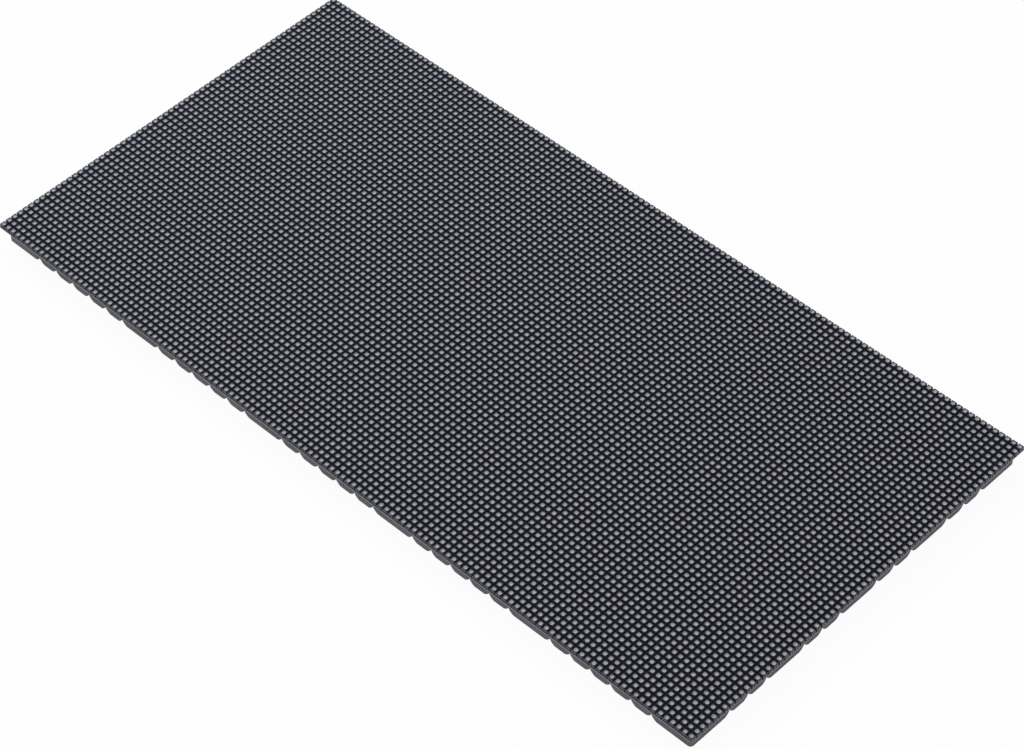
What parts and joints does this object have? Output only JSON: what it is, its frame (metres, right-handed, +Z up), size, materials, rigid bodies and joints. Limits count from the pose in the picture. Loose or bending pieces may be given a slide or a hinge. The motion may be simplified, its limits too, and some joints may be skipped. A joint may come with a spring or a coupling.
{
  "type": "flexible led dot matrix module",
  "caption": "Flexible full-colour LED dot matrix module: a flat face of small square lamps on a thin board, backed by a dark rubber frame with lobed edges.",
  "frame": {"origin": "middle of the underside of the rubber frame", "axes": "+Z up out of the lamp face, +X along the long edge from the signal input to the output, +Y along the short edge"},
  "size_m": [0.3198, 0.1598, 0.0078],
  "materials": {
    "lamp_package": "satin black moulding",
    "board": "matt black solder mask",
    "frame_rubber": "matt moulded rubber",
    "nickel": "nickel plate",
    "chip_moulding": "matt moulding",
    "resistor_ceramic": "glazed",
    "capacitor_ceramic": "matt ceramic",
    "capacitor_moulding": "matt moulding",
    "header_moulding": "satin moulding",
    "power_moulding": "satin moulding",
    "contact_metal": "plated"
  },
  "bodies": {
    "root": {"buffer_chips": "chip_moulding", "bulk_capacitors": "capacitor_moulding", "ceramic_capacitors": "capacitor_ceramic", "driver_chips": "chip_moulding", "flex_board": "board", "led_bank_1": "lamp_package", "led_bank_2": "lamp_package", "led_bank_3": "lamp_package", "led_bank_4": "lamp_package", "led_bank_5": "lamp_package", "led_bank_6": "lamp_package", "led_bank_7": "lamp_package", "led_bank_8": "lamp_package", "magnets": "nickel", "power_contacts": "contact_metal", "power_header": "power_moulding", "rear_frame": "frame_rubber", "resistor_networks": "resistor_ceramic", "row_switch_chips": "chip_moulding", "signal_contacts_in": "contact_metal", "signal_contacts_out": "contact_metal", "signal_header_in": "header_moulding", "signal_header_out": "header_moulding"}
  },
  "joints": []
}
